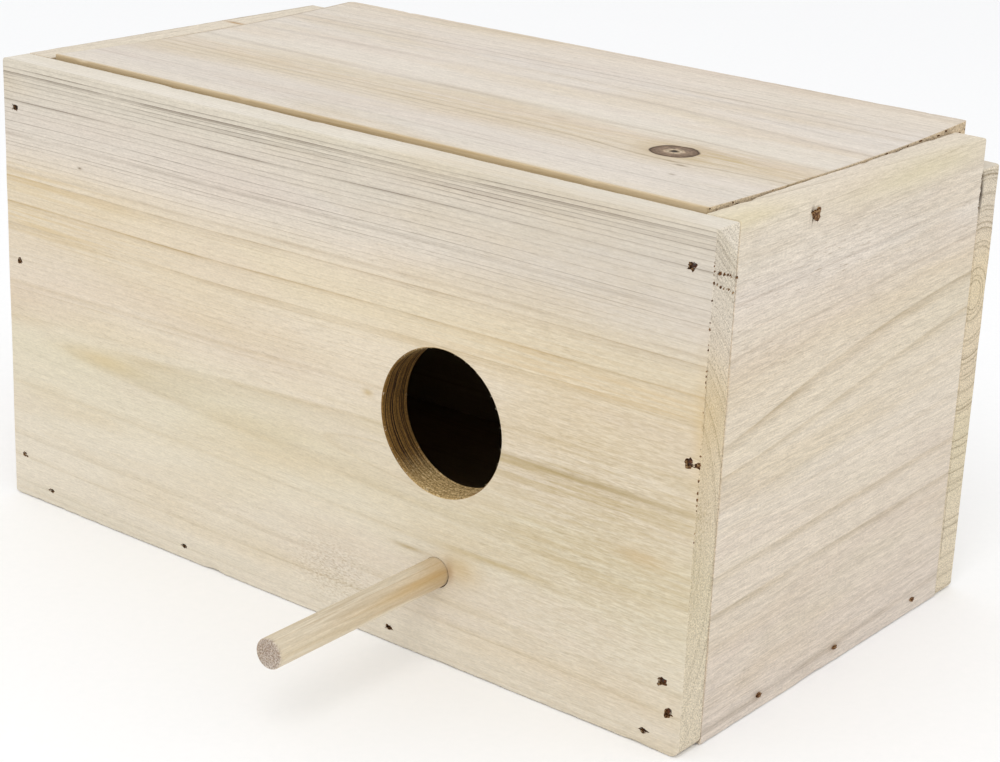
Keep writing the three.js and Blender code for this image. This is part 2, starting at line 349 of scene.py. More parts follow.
def softwood(name, lie, log, marks=()):
    """Bare planed softwood. log says how the board lay in its tree; marks are finishes of single boards."""
    material, tree, shader = new_material(name)
    grain, normal = grain_space(tree, lie)
    ring, bent = ring_height(tree, grain, log)
    main, fine = growth_lines(tree, ring, log)

    depth = add(tree, "SeparateXYZ", (grain,), 1)
    inward = add(tree, "Math.SUBTRACT", (depth, log["face"]))
    stain_height = add(tree, "Math.MULTIPLY_ADD", (inward, log["tilt"], bent))
    bottom, top = log["span"]
    share = add(tree, "MapRange", (stain_height, bottom, top))
    tone, ink, fine_power, main_power = (
        add(tree, "ValToRGB", (share,), stops=ramp_stops(log[key], log["span"]))
        for key in ("tones", "inks", "fine", "main")
    )
    main = add(tree, "Math.MULTIPLY", (main, main_power))
    end_rings = add(tree, "Math.MULTIPLY", (fine, 0.6))
    end_rings = add(tree, "Math.MAXIMUM", (end_rings, main))
    fine = add(tree, "Math.MULTIPLY", (fine, fine_power))
    patchy = pattern(tree, grain, 30, 3, log["seed"] + 5, 3.0)
    patchy = add(tree, "MapRange", (patchy, 0.32, 0.62, 0.35, 1.0))
    lines = add(tree, "Math.MULTIPLY", (add(tree, "Math", (fine, main)), patchy), use_clamp=True)

    colour = tint(tree, stained(tree, grain, tone, log["seed"]), ink, lines)
    colour, fibre, torn_row = fibrous(tree, grain, colour, log)
    reach_in = add(tree, "Math.ABSOLUTE", (inward,))
    # painted shade: the inner faces are multiplied darker, for their sawn colour and for the dark inside of
    # the box
    unplaned_and_shade = add(tree, "MapRange", (reach_in, *INNER_FACE, 0.0, log.get("inside", 1.0)))
    colour = tint(tree, colour, "#c6b69d", unplaned_and_shade, "MULTIPLY")

    facing = add(tree, "Math.ABSOLUTE", (add(tree, "SeparateXYZ", (normal,)),))
    sawn = add(tree, "MapRange", (facing, 0.55, 0.9), interpolation_type="SMOOTHSTEP")
    end_colour, end_relief = sawn_end(tree, grain, tone, end_rings, lines, log)
    colour = tint(tree, colour, end_colour, sawn)
    relief = add(tree, "Math.MULTIPLY", (fibre, 0.5))
    relief = add(tree, "Math.MULTIPLY_ADD", (lines, 0.5, relief))
    relief = add(tree, "Math.MULTIPLY_ADD", (torn_row, -0.5, relief))
    relief = add(tree, "Mix", {0: sawn, 2: relief, 3: end_relief})
    for mark in marks:
        colour, relief = mark(tree, grain, colour, relief)

    bump = add(tree, "Bump", {"Height": relief, "Strength": 0.55, "Distance": 0.16 * MM})
    rough = add(tree, "MapRange", (fibre, 0.3, 0.7, 0.86, 0.7))
    plug(shader, {"Base Color": colour, "Normal": bump, "Roughness": rough, "IOR": 1.5,
                  "Specular IOR Level": 0.3})
    return material


# %% [markdown]
# ### Marks of single boards
#
# A mark is a function that takes a board's colour and relief and gives back both with something added. The
# lid has a knot, where a branch was sawn across. Its pith is black, and round that its wood goes from pale
# to brown, with fine rays and tight rings. A dark line of bark bounds it, and the board is tan beside it.


# %% Knot
KNOT_YEARS = 7.0  # radians per millimetre: the higher, the tighter the knot's rings


def knot(centre, radius):
    """A sound knot: the branch runs through the board, and its rings crowd round a dark pith."""
    def mark(tree, grain, colour, relief):
        offset = add(tree, "VectorMath.SUBTRACT", (grain, centre))
        wobble = add(tree, "TexNoise", {"Vector": offset, "Scale": 0.22, "Detail": 2.0}, "Color")
        wobble = add(tree, "VectorMath.SUBTRACT", (wobble, (0.5, 0.5, 0.5)))
        offset = add(tree, "VectorMath.MULTIPLY_ADD", (wobble, (1.2,) * 3, offset))
        flat = add(tree, "VectorMath.MULTIPLY", (offset, (0.95, 0.12, 1)))
        out = add(tree, "VectorMath.LENGTH", (flat,), "Value")
        halo = add(tree, "MapRange", (out, radius, radius * 2.1, 0.42, 0.0))
        colour = tint(tree, colour, "#b9a27a", halo)
        share = add(tree, "Math.DIVIDE", (out, radius))
        disc = add(tree, "ValToRGB", (share,), stops=[
            (0.0, "#0b0604"), (0.11, "#1c120a"), (0.17, "#8d785c"), (0.26, "#d6c3a8"), (0.38, "#bea78d"),
            (0.50, "#947d68"), (0.76, "#87705c"), (0.89, "#775f4b"), (0.95, "#3d2a1d"), (1.0, "#675039")])
        spread_x, _, spread_z = add(tree, "SeparateXYZ", (flat,)).node.outputs
        turn = add(tree, "Math.ARCTAN2", (spread_z, spread_x))
        rays = add(tree, "TexNoise", {"W": turn, "Scale": 2.4, "Detail": 1.0}, noise_dimensions="1D")
        disc = mottled(tree, disc, rays, (0.38, 0.62), (0.78, 1.1))
        years = add(tree, "Math.MULTIPLY", (out, KNOT_YEARS))
        years = add(tree, "Math.SINE", (years,))
        years = add(tree, "MapRange", (years, -1.0, 1.0, 0.0, 0.3))
        disc = tint(tree, disc, "#5f4c38", years)
        grit = add(tree, "TexNoise", {"Vector": offset, "Scale": 1.1, "Detail": 4.0}, "Fac")
        disc = mottled(tree, disc, grit, (0.35, 0.65), (0.7, 1.16))
        inside = add(tree, "MapRange", (share, 0.97, 1.04, 1.0, 0.0))
        colour = tint(tree, colour, disc, inside)
        check = add(tree, "MapRange", (share, 0.03, 0.10, -3.0, 0.0))
        rim = add(tree, "Math.COMPARE", (share, 1.0, 0.06))
        rim = add(tree, "MapRange", {0: rim, 3: 0.0, 4: -1.4})
        relief = add(tree, "Math", (relief, check))
        return colour, add(tree, "Math", (relief, rim))
    return mark


# %% [markdown]
# The other marks are lighter. A blunt planer lifts the fibres into a woolly patch: a bump, with painted
# shade in the dark gaps and a painted highlight on the pale tufts. Resin and old water leave streaks along
# the grain. A spot is a soft stain, or a pin mark when it is small and dark.


# %% Woolly patch, streaks and spots
# painted shade for the gaps between lifted fibres, and a painted highlight for the tufts
WOOL_PAINTED_SHADE = (0.38, 0.47, 0.42, 0.0, "#a28b63")  # part of the noise's range, strengths at its ends, shade
WOOL_PAINTED_HIGHLIGHT = (0.54, 0.63, 0.0, 0.45, "#f3ecdc")


def woolly_patch(centre, spread, strength=1.0):
    """Fibres lifted by a blunt planer into short ridges: a bump, with painted shade between them and a
    painted highlight on them.
    """
    def mark(tree, grain, colour, relief):
        zone = bell(tree, grain, centre, spread)
        wool = pattern(tree, grain, 1.1, 0.42, 41, 3.0)
        lifted = add(tree, "Math.MULTIPLY", (wool, zone))
        # the gaps are darkened as painted shade, the tufts lightened as a painted highlight
        for start, end, first, last, shade in (WOOL_PAINTED_SHADE, WOOL_PAINTED_HIGHLIGHT):
            amount = add(tree, "MapRange", (wool, start, end, first * strength, last * strength))
            amount = add(tree, "Math.MULTIPLY", (amount, zone), use_clamp=True)
            colour = tint(tree, colour, shade, amount)
        return colour, add(tree, "Math.MULTIPLY_ADD", (lifted, 6.0 * strength, relief))
    return mark


def streaks(centre, spread, shade, strength, long=14, wide=0.7):
    """A stained zone broken into streaks along the grain."""
    def mark(tree, grain, colour, relief):
        zone = bell(tree, grain, centre, spread)
        broken = add(tree, "MapRange", (pattern(tree, grain, long, wide, 43, 3.0), 0.42, 0.6))
        amount = add(tree, "Math.MULTIPLY", (zone, broken))
        amount = add(tree, "Math.MULTIPLY", (amount, strength))
        return tint(tree, colour, shade, amount), relief
    return mark


def spot(centre, spread, shade, strength):
    """A soft stain or pin mark."""
    def mark(tree, grain, colour, relief):
        amount = add(tree, "Math.MULTIPLY", (bell(tree, grain, centre, spread), strength))
        return tint(tree, colour, shade, amount), relief
    return mark


# %% [markdown]
# ## A board
#
# A board could be a cube with a bevel, but then every arris would be the same. A real one was sawn, nailed
# and handled, so its arrises are soft here and crisp there, with small dents. The board is therefore swept:
# a rounded rectangle is carried along the grain in short steps, and at each step the rounding of each of
# its four arrises comes from smooth noise. The last steps close in to ease the sawn ends, and a corner that
# was knocked against something is drawn in to a larger radius.


# %% Sweep a board
BOARD = 9.5  # mm thick
STEP = 1.6  # mm between sections
CORNER_STEPS = 4
EASE_STEPS = 4
CREASE = 38  # degrees: an edge that folds more than this stays crisp
WOOD, TORN, SCORCHED = 0, 1, 2  # material slots of a board


def arris_radius(position, corner, seed, easing):
    """How far one arris is worn at a place along the board."""
    slow = noise.noise(Vector((position * 0.035, corner * 7.3, seed)))
    quick = noise.noise(Vector((position * 0.33, corner * 3.1, seed + 9.0)))
    dent = max(0.0, noise.noise(Vector((position * 0.16, corner * 5.7, seed + 21.0))) - 0.38)
    return easing * max(0.35, 1 + 0.8 * slow + 0.45 * quick) + 2.4 * dent


def section(width, thick, radii, face_steps):
    """One closed outline round the board, as (across, through) points from its middle."""
    points = []
    signs = ((1, 1), (-1, 1), (-1, -1), (1, -1))
    for corner, (side, face) in enumerate(signs):
        radius = radii[corner]
        middle = Vector((side * (width / 2 - radius), face * (thick / 2 - radius)))
        for step in range(CORNER_STEPS + 1):
            turn = math.radians(90 * (corner + step / CORNER_STEPS))
            points.append(middle + radius * Vector((math.cos(turn), math.sin(turn))))
        ahead_side, ahead_face = signs[(corner + 1) % 4]
        ahead = radii[(corner + 1) % 4]
        ahead_middle = Vector((ahead_side * (width / 2 - ahead), ahead_face * (thick / 2 - ahead)))
        turn = math.radians(90 * (corner + 1))
        start = points[-1]
        end = ahead_middle + ahead * Vector((math.cos(turn), math.sin(turn)))
        steps = face_steps if corner % 2 == 0 else 2
        points += [start.lerp(end, step / steps) for step in range(1, steps)]
    return points


def stations(length, easing):
    """Places along the board, closer together where the ends are eased, each with how far it closes in."""
    closing = []
    for step in range(EASE_STEPS + 1):
        turn = math.radians(90 * step / EASE_STEPS)
        closing.append((easing * (1 - math.cos(turn)), easing * (1 - math.sin(turn))))
    closing += [(easing + further, 0) for further in (0.5, 1.1, 1.9, 2.9)]
    reach = closing[-1][0]
    inner = max(2, round((length - 2 * reach) / STEP))
    places = [(place - length / 2, inset) for place, inset in closing]
    places += [(-length / 2 + reach + (length - 2 * reach) * i / inner, 0) for i in range(1, inner)]
    places += [(length / 2 - place, inset) for place, inset in reversed(closing)]
    return places


def skin(made, rings, material=WOOD):
    """Closes a body over its rings of vertices: faces between each two rings, then the two ends."""
    faces = []
    for first, second in zip(rings, rings[1:]):
        for i in range(len(first)):
            j = (i + 1) % len(first)
            faces.append(made.faces.new((first[i], first[j], second[j], second[i])))
    for ring in (rings[0], rings[-1]):
        faces.append(made.faces.new(ring))
    for face in faces:
        face.material_index = material


def worn_limits(position, length, width, worn):
    """How far a board still reaches to each side at one place, next to its knocked corners."""
    limit = {1: width / 2, -1: width / 2}
    for end, side, radius in worn:
        left = min(radius, length / 2 - end * position)
        limit[side] -= radius - math.sqrt(radius ** 2 - (radius - left) ** 2)
    return limit


def swept_board(name, node, lie, materials, easing=0.8, end_easing=0.7, cup=None, worn=()):
    """A board in the place of a CAD node. worn lists (end, side, radius) of corners knocked round."""
    low, high = box_mm(node)
    order = ["xyz".index(axis) for axis in AXES[lie]]
    length, thick, width = ((high - low)[axis] for axis in order)
    middle = (low + high) / 2
    if cup:
        thick = BOARD
    seed = sum(map(ord, name)) * 0.37
    made = bmesh.new()
    rings = []
    for position, inset in stations(length, end_easing):
        radii = [arris_radius(position, corner, seed, easing) for corner in range(4)]
        limit = worn_limits(position, length, width, worn)
        face_steps = max(4, round(width / 9))
        ring = []
        for across, through in section(width - 2 * inset, thick - 2 * inset, radii, face_steps):
            across = max(-limit[-1], min(limit[1], across))
            frayed = abs(noise.noise(Vector((across * 0.9, through * 0.9, seed)))) * 0.35 if inset else 0.0
            point = Vector((0.0, 0.0, 0.0))
            point[order[0]] = middle[order[0]] + position - math.copysign(frayed, position)
            point[order[1]] = middle[order[1]] + through
            point[order[2]] = middle[order[2]] + across
            if cup:
                point[order[1]] = cup(point[order[2]]) + through
            ring.append(made.verts.new(point * MM))
        rings.append(ring)
    skin(made, rings)
    return finish_piece(name, made, materials)


def finish_piece(name, made, materials):
    """Turns a bmesh into a smooth-shaded object whose edges stay crisp past the crease angle."""
    bmesh.ops.recalc_face_normals(made, faces=made.faces)
    mesh = bpy.data.meshes.new(name)
    made.to_mesh(mesh)
    made.free()
    mesh.shade_smooth()
    mesh.set_sharp_from_angle(angle=math.radians(CREASE))
    for material in materials:
        mesh.materials.append(material)
    piece = bpy.data.objects.new(name, mesh)
    bpy.context.collection.objects.link(piece)
    return piece


def cut(piece, cutter, overlapping=False):
    """Cuts one closed piece out of another for good, and throws the cutter away."""
    modifier = piece.modifiers.new("cut", "BOOLEAN")
    modifier.use_self = overlapping
    modifier.operation = "DIFFERENCE"
    modifier.solver = "EXACT"
    modifier.material_mode = "INDEX"
    modifier.object = cutter
    graph = bpy.context.evaluated_depsgraph_get()
    result = bpy.data.meshes.new_from_object(piece.evaluated_get(graph))
    piece.modifiers.clear()
    old = piece.data
    piece.data = result
    result.set_sharp_from_angle(angle=math.radians(CREASE))
    bpy.data.meshes.remove(old)
    bpy.data.objects.remove(cutter)


# %% [markdown]
# ## Sunk brads
#
# The brads were shot in by an air nailer, which drives each head about a millimetre under and tears the
# fibres round it. Each mark is a small ragged pit, longer along the grain, with a few splinters left
# leaning over it. The pits are cut from the board as real holes, so that they are dark for the same reason
# as on the box. The brad heads of the frame then show at the bottom.


# %% Pits and gouges
PIT_DEPTH = 1.25
RIM_POINTS = 18
OUTWARD = {
    "front": Vector((0, -1, 0)), "back": Vector((0, 1, 0)),
    "left": Vector((-1, 0, 0)), "right": Vector((1, 0, 0)),
}
UP = Vector((0, 0, 1))


def face_point(node, face):
    """The place on a face of the box where a fastener went in."""
    low, high = box_mm(node)
    point = (low + high) / 2
    outward = OUTWARD[face]
    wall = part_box(f"{face}_board" if face in ("front", "back") else f"{face}_side_board")
    axis = 1 if face in ("front", "back") else 0
    point[axis] = (wall[1] if outward[axis] > 0 else wall[0])[axis] / MM
    return point


def pit_cutter(made, point, outward, half_long, half_high, dice):
    """A ragged pit: an uneven outline that draws in towards its floor."""
    sideways = outward.cross(UP)
    spikes = [dice.randrange(RIM_POINTS) for _ in range(3)]
    rim = []
    for i in range(RIM_POINTS):
        turn = math.tau * i / RIM_POINTS
        reach = 0.72 + 0.4 * dice.random()
        if i in spikes:
            reach += 0.45 * abs(math.cos(turn)) + 0.15
        rim.append((half_long * reach * math.cos(turn), half_high * reach * math.sin(turn)))
    levels = ((0.6, 1.08), (0.0, 1.0), (-PIT_DEPTH * 0.55, 0.86), (-PIT_DEPTH, 0.7))
    rings = []
    for lift, scale in levels:
        rings.append([
            made.verts.new((point + outward * lift + sideways * a * scale + UP * b * scale) * MM)
            for a, b in rim
        ])
    skin(made, rings, TORN)


def gouge(piece, places):
    """Cuts small ragged hollows, each (centre, half-sizes) in millimetres. They may run into each other."""
    made = bmesh.new()
    for centre, half in places:
        lump = bmesh.ops.create_icosphere(made, subdivisions=2, radius=1.0)
        for vert in lump["verts"]:
            rough = 1 + 0.6 * noise.noise(vert.co * 1.7 + centre)
            vert.co = (centre + Vector(half) * rough * vert.co) * MM
    for face in made.faces:
        face.material_index = TORN
    cut(piece, finish_piece("gouges", made, piece.data.materials), overlapping=True)
    print(piece.name, "gouges:", len(places))


# %% [markdown]
# A splinter is a sliver with three sides and a point, still rooted in the wood. It is joined to the board's
# mesh after the last cut, as a closed shell of its own.


# %% Splinters
SPLINTERS = 6


def sliver(made, root, tip, width, material=WOOD):
    """A thin three-sided splinter from root to tip."""
    run = (tip - root).normalized()
    side = run.cross(Vector((0.31, 0.53, 0.79))).normalized()
    other = run.cross(side)
    base = [
        made.verts.new((root + width * (side * math.cos(t) + other * math.sin(t))) * MM)
        for t in (0, math.tau / 3, math.tau * 2 / 3)
    ]
    point = made.verts.new(tip * MM)
    faces = [made.faces.new(base)]
    faces += [made.faces.new((base[i], base[(i + 1) % 3], point)) for i in range(3)]
    for face in faces:
        face.material_index = material


def splinters(made, point, outward, half_long, half_high, dice):
    """Fibres still rooted at the pit's two ends, which lean over it along the grain."""
    sideways = outward.cross(UP)
    for _ in range(SPLINTERS):
        end = dice.choice((-1, 1))
        height = dice.uniform(-0.85, 0.85) * half_high
        root = point + sideways * end * half_long * dice.uniform(0.95, 1.2) + UP * height - outward * 0.15
        reach = sideways * -end * dice.uniform(0.5, 1.2)
        lean = outward * dice.uniform(-0.15, 0.35) + UP * dice.uniform(-0.2, 0.2)
        sliver(made, root, root + reach + lean, dice.uniform(0.07, 0.14))


def join_shells(piece, made):
    """Adds loose closed shells, such as splinters, to a piece's own mesh."""
    bmesh.ops.recalc_face_normals(made, faces=made.faces)
    extra = bpy.data.meshes.new("shells")
    made.to_mesh(extra)
    made.free()
    whole = bmesh.new()
    whole.from_mesh(piece.data)
    whole.from_mesh(extra)
    whole.to_mesh(piece.data)
    whole.free()
    bpy.data.meshes.remove(extra)


# %% [markdown]
# All pits of one face are cut at once. Each brad draws its own sizes and splinters from its name, so a pit
# stays the same when another brad is added.


# %% Drive the brads of a face
def drive_brads(piece, face, sizes):
    """Cuts a torn pit for every brad of a face. sizes maps the start of a node's name to half-sizes."""
    pits = bmesh.new()
    hairs = bmesh.new()
    count = 0
    for node in sorted(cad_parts):
        prefix = next((p for p in sizes if node.startswith(p)), None)
        if prefix is None:
            continue
        dice = random.Random(node)
        half_long, half_high = (size * dice.uniform(0.85, 1.15) for size in sizes[prefix])
        point = face_point(node, face)
        pit_cutter(pits, point, OUTWARD[face], half_long, half_high, dice)
        splinters(hairs, point, OUTWARD[face], half_long, half_high, dice)
        count += 1
    cutter = finish_piece("pits", pits, piece.data.materials)
    cut(piece, cutter)
    join_shells(piece, hairs)
    print(piece.name, "pits:", count)


# %% [markdown]
# ## Torn wood
#
# Inside a nail pit the fibres are crushed and stained brown by the steel. The stain lies in clumps, from
# nearly black to the tan of clean wood, and the surface is too rough to shine.


# %% Torn wood
def torn_wood():
    """Crushed softwood fibres stained by iron."""
    material, tree, shader = new_material("torn_stained_softwood")
    place = add(tree, "TexCoord", (), "Object")
    clump = add(tree, "TexNoise", {"Vector": place, "Scale": 2.2 / MM, "Detail": 3.0}, "Fac")
    colour = add(tree, "ValToRGB", (clump,), stops=[
        (0.30, "#24150a"), (0.46, "#573720"), (0.58, "#8d6a45"), (0.72, "#c4a87c")])
    bump = add(tree, "Bump", {"Height": clump, "Strength": 0.8, "Distance": 0.2 * MM})
    plug(shader, {"Base Color": colour, "Normal": bump, "Roughness": 0.9, "Specular IOR Level": 0.2})
    return material


# %% [markdown]
# ## Scorched wood
#
# The wall of the entrance was cut by a hole saw that ran hot. It is scorched in brown and black bands, and
# each turn of the teeth left a fine ridge. Where the saw cut along the fibres, at the top and the bottom,
# it burned less and left pale, speckled wood. The angle round the hole says which of the two a point is.


# %% Scorched wood
RIDGE = 1.1  # mm through the board from one ridge of the saw to the next


def scorched_wood(centre_x, centre_z):
    """Softwood cut and burned by a hole saw, with ridges that run round the hole."""
    material, tree, shader = new_material("scorched_sawn_softwood")
    grain, _ = grain_space(tree, "front")
    parts = add(tree, "SeparateXYZ", (grain,)).node.outputs
    wave = add(tree, "TexNoise", {"Vector": grain, "Scale": 0.11, "Detail": 1.0}, "Fac")
    through = add(tree, "Math.MULTIPLY_ADD", (wave, 1.6, parts[1]))
    turn = add(tree, "CombineXYZ", {1: through})
    bands = add(tree, "TexNoise", {"Vector": turn, "Scale": 1.5, "Detail": 3.0}, "Fac")
    ridge = add(tree, "Math.MULTIPLY", (through, math.tau / RIDGE))
    ridge = add(tree, "Math.SINE", (ridge,))
    across, height = (
        add(tree, "Math.ABSOLUTE", (add(tree, "Math.SUBTRACT", (part, centre)),))
        for part, centre in ((parts[0], centre_x), (parts[2], centre_z))
    )
    round_place = add(tree, "Math.ARCTAN2", (height, across))
    burn = add(tree, "MapRange", (round_place, 0.65, 1.35, 1.0, 0.0), interpolation_type="SMOOTHSTEP")
    speckle = pattern(tree, grain, 0.55, 0.45, 53, 3.0)
    warm = add(tree, "ValToRGB", (bands,), stops=[
        (0.36, "#180b03"), (0.44, "#3c240d"), (0.50, "#8c6934"), (0.56, "#37200a"), (0.64, "#1a0c03")])
    pale = add(tree, "ValToRGB", (speckle,), stops=[
        (0.3, "#a3834f"), (0.55, "#c5a874"), (0.75, "#dcc69c")])
    colour = tint(tree, pale, warm, burn)
    colour = mottled(tree, colour, speckle, (0.3, 0.7), (0.62, 1.32))
    ridge = add(tree, "Math.MULTIPLY", (ridge, burn))
    relief = add(tree, "Math.MULTIPLY_ADD", (ridge, 0.35, speckle))
    bump = add(tree, "Bump", {"Height": relief, "Strength": 0.6, "Distance": 0.16 * MM})
    plug(shader, {"Base Color": colour, "Normal": bump, "Roughness": 0.85, "Specular IOR Level": 0.25})
    return material


# %% [markdown]
# ## Front board
#
# The front was sawn from near the outside of a slow-grown tree: fine grey lines crowd its top, a tan band
# lies under them, and lower down one ring runs out in a long tongue. It takes the entrance, the perch and
# the most brads.
#
# A log is a handful of values. The pith is a height and a depth from the face, and it leans along the
# board. Lines, tones, inks and strengths are listed by their height on the face.

# %% The front board's log
perch_low, perch_high = box_mm("perch")
front_low, front_high = box_mm("front_board")
FRONT_LOG = {
    "seed": 4.0, "wander": 1.8, "face": -68, "tilt": 0.75, "span": (0, 138),
    "pith": (51, -128), "lean": (0.006, 0.0), "nearest": 57.0, "ring_width": 1.05, "fibre": 0.75,
    "lines": [(20.4, 0.42, 2.2), (26, 0.42, 1.4), (38.2, 0.45, 2), (43.9, 0.6, 1.6), (51.1, 0.3, 3),
              (53.1, 0.5, 1.2), (62.7, 0.7, 1), (72.6, 0.5, 1), (77.5, 0.65, 0.8), (79.5, 0.9, 0.8)],
    "main": [(0, 0.4), (40, 0.8), (60, 0.9), (90, 1.0), (131, 1.0), (132, 0.25), (138, 0.2)],
    "fine": [(0, 0.2), (40, 0.18), (68, 0.32), (84, 0.42), (98, 0.5), (108, 0.75), (118, 0.95), (131, 1.0),
             (132, 0.3), (138, 0.25)],
    "tones": [(0, "#e2d8c6"), (20, "#e2d8c5"), (48, "#e0d6be"), (66, "#e3d6c1"), (80, "#e3d6c0"),
              (88, "#e3d5ba"), (96, "#e3d5bc"), (106, "#e0d5c6"), (114, "#ddd4c7"), (131, "#d9d0bf"),
              (132, "#e8e0d3"), (138, "#e6decf")],
    "inks": [(0, "#b3a078"), (60, "#b0975f"), (96, "#a98b58"), (106, "#82705b"), (114, "#6d5b48"),
             (131, "#5c4836")],
    "end_shade": "#fffdf8", "end_rings": 0.7,
}

# %% [markdown]
# The marks of the front board are placed by their distance from its middle and their height.

# %% The front board's marks
FRONT_MARKS = (
    # wool over the bottom edge, with painted shade and painted highlight in its specks
    (woolly_patch, 8, 14, (14, 6, 8.5)),
    # the right end: darker below, greyer on top, with short torn streaks
    (spot, 122, 58, (52, 14, 52), "#cfc19e", 0.18),
    (spot, 108, 119, (60, 9, 20), "#c6bdb2", 0.3),
    (streaks, 96, 52, (50, 7, 55), "#a8926a", 0.32, 3, 0.35),
    # tan streaks beside and below the entrance
    (streaks, 85, 61, (50, 9, 9), "#b09a66", 0.5, 30, 0.9),
    (streaks, 92, 43, (40, 9, 9), "#b8a376", 0.4, 24, 0.9),
    # pin marks
    (spot, -88.5, 105, (0.8, 2, 0.3), "#6b5535", 0.8),
    (spot, 19, 67, (1.6, 2, 0.9), "#c0a878", 0.7),
    # resin lines and a smudge to the right of the entrance
    (spot, 62, 33, (17, 2, 0.8), "#b29b64", 0.55),
    (spot, 90, 62.5, (34, 3, 0.9), "#a08a57", 0.6),
    (spot, 106, 48, (7, 3, 2.2), "#c9a978", 0.35),
    # brown water stain at the perch, and a line that runs out of it
    (spot, 51, 28, (6, 2, 4), "#c6a86c", 0.5),
    (spot, 47.6, 26, (1.6, 2, 3), "#9c7238", 0.5),
    (spot, 34, 28.8, (5, 2, 0.6), "#a58c55", 0.6),
    # the tan band, stronger at the two ends and on the right arris
    (streaks, -106, 97, (34, 9, 4), "#cbb07c", 0.45, 40, 0.9),
    (streaks, -104, 86, (40, 9, 5), "#ceb482", 0.5, 40, 0.8),
    (streaks, 90, 88, (50, 9, 6), "#cdb388", 0.5, 40, 0.8),
    (spot, 120, 84, (2.5, 12, 15), "#cfb27c", 0.35),
    # the tip of the tongue
    (spot, -80, 51, (15, 3, 2.6), "#d6c08f", 0.45),
)
front_wood = softwood("planed_softwood_front", "front", FRONT_LOG, [
    mark((x, front_low.y, height), *rest) for mark, x, height, *rest in FRONT_MARKS
])
torn = torn_wood()

# %% [markdown]
# The board is swept at its place in the box. Its lower right corner has been knocked round, and the other
# three are a little soft.

# %% Sweep the front board
ENTRANCE = Vector((43.2, front_low.y, 65.0))
front = swept_board(
    "front_board_planed", "front_board", "front",
    [front_wood, torn, scorched_wood(ENTRANCE.x, ENTRANCE.z)],
    easing=0.55, end_easing=0.45, worn=((1, -1, 2.8), (-1, -1, 1.6), (1, 1, 0.9), (-1, 1, 0.8)),
)
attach(front, "box")
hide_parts("front_board")

# %% [markdown]
# ### Entrance and perch hole
#
# The entrance is cut with a turned tool: its profile carries the small ridges that the saw teeth left, so
# they are real geometry, and it opens out a little at the face. The perch hole is drilled a little wide and
# off centre, which leaves a dark line beside the dowel.


# %% Turned cutters
ENTRANCE_RADIUS = 19.3
ENTRANCE_SIDES = 120
PROFILE_STEPS = 36
PERCH_BASE = Vector(((perch_low.x + perch_high.x) / 2, front_low.y, 24.8))
PERCH_RADIUS = (perch_high.x - perch_low.x) / 2
DRILL_SLACK = 0.12
DRILL_SIDES = 48


def turned_cutter(name, centre, profile, material, segments, materials):
    """A solid of revolution about Y, from (radius, y) pairs, closed at both ends."""
    made = bmesh.new()
    rings = []
    for radius, y in profile:
        rings.append([
            made.verts.new(Vector((centre.x + radius * math.cos(math.tau * i / segments), y,
                                   centre.z + radius * math.sin(math.tau * i / segments))) * MM)
            for i in range(segments)
        ])
    skin(made, rings, material)
    return finish_piece(name, made, materials)


profile = [(ENTRANCE_RADIUS + 0.35, front_low.y - 1), (ENTRANCE_RADIUS + 0.3, front_low.y - 0.02)]
for i in range(PROFILE_STEPS + 1):
    y = front_low.y + 0.25 + (BOARD + 1) * i / PROFILE_STEPS
    profile.append((ENTRANCE_RADIUS + 0.07 * math.sin(math.tau * y / RIDGE) + 0.05 * math.sin(y * 2.3), y))
cut(front, turned_cutter("hole_saw", ENTRANCE, profile, SCORCHED, ENTRANCE_SIDES, front.data.materials))

drill = PERCH_RADIUS + DRILL_SLACK
profile = [(drill, front_low.y - 1), (drill, front_high.y + 1)]
drilled = PERCH_BASE + Vector((0.10, 0, -0.06))
cut(front, turned_cutter("drill", drilled, profile, TORN, DRILL_SIDES, front.data.materials))
print("front board faces:", len(front.data.polygons))

# %% [markdown]
# ### Torn end and arris
#
# On the sawn right end two rows of end grain were torn out along a ring. The front arris beside them is
# chipped from near the top to below the middle, and one brad blew out through it. All of these are small
# gouges.

# %% Tear the right end
TEAR_ROWS = ((121.3, 118.0), (118.8, 114.3))  # heights of a row at the front and at the back face
TEARS = 8
CHIPS = 46
CHIP_TOP = 124
CHIP_STEP = 1.5
blown_out = Vector((front_high.x + 0.3, front_low.y - 0.3, 75.3))
dice = random.Random("torn end")
torn_places = [(blown_out, (1.8, 0.75, 1.1))]
for front_height, back_height in TEAR_ROWS:
    for step in range(TEARS):
        share = (step + dice.uniform(0.1, 0.9)) / TEARS
        place = Vector((front_high.x + 0.1, 0, dice.uniform(-0.25, 0.25)))
        place.y = front_low.y + BOARD * share
        place.z += front_height + (back_height - front_height) * share
        size = dice.uniform(0.28, 0.52)
        torn_places.append((place, (size, size * 1.3, size)))
for step in range(CHIPS):
    chip_height = CHIP_TOP - CHIP_STEP * step + dice.uniform(-0.5, 0.5)
    place = Vector((front_high.x - 0.05, front_low.y + 0.05, chip_height))
    size = dice.uniform(0.12, 0.36)
    torn_places.append((place, (size, size, size * dice.uniform(0.8, 1.8))))
gouge(front, torn_places)

# %% [markdown]
# ### Front brads and fuzz
#
# The brads tore larger pits on the right than on the left. They come after the holes, as splinters may only
# be joined once all the cutting is done. For the same reason the fuzz comes last: pale uncut fibres that
# stand round both rims of the entrance.

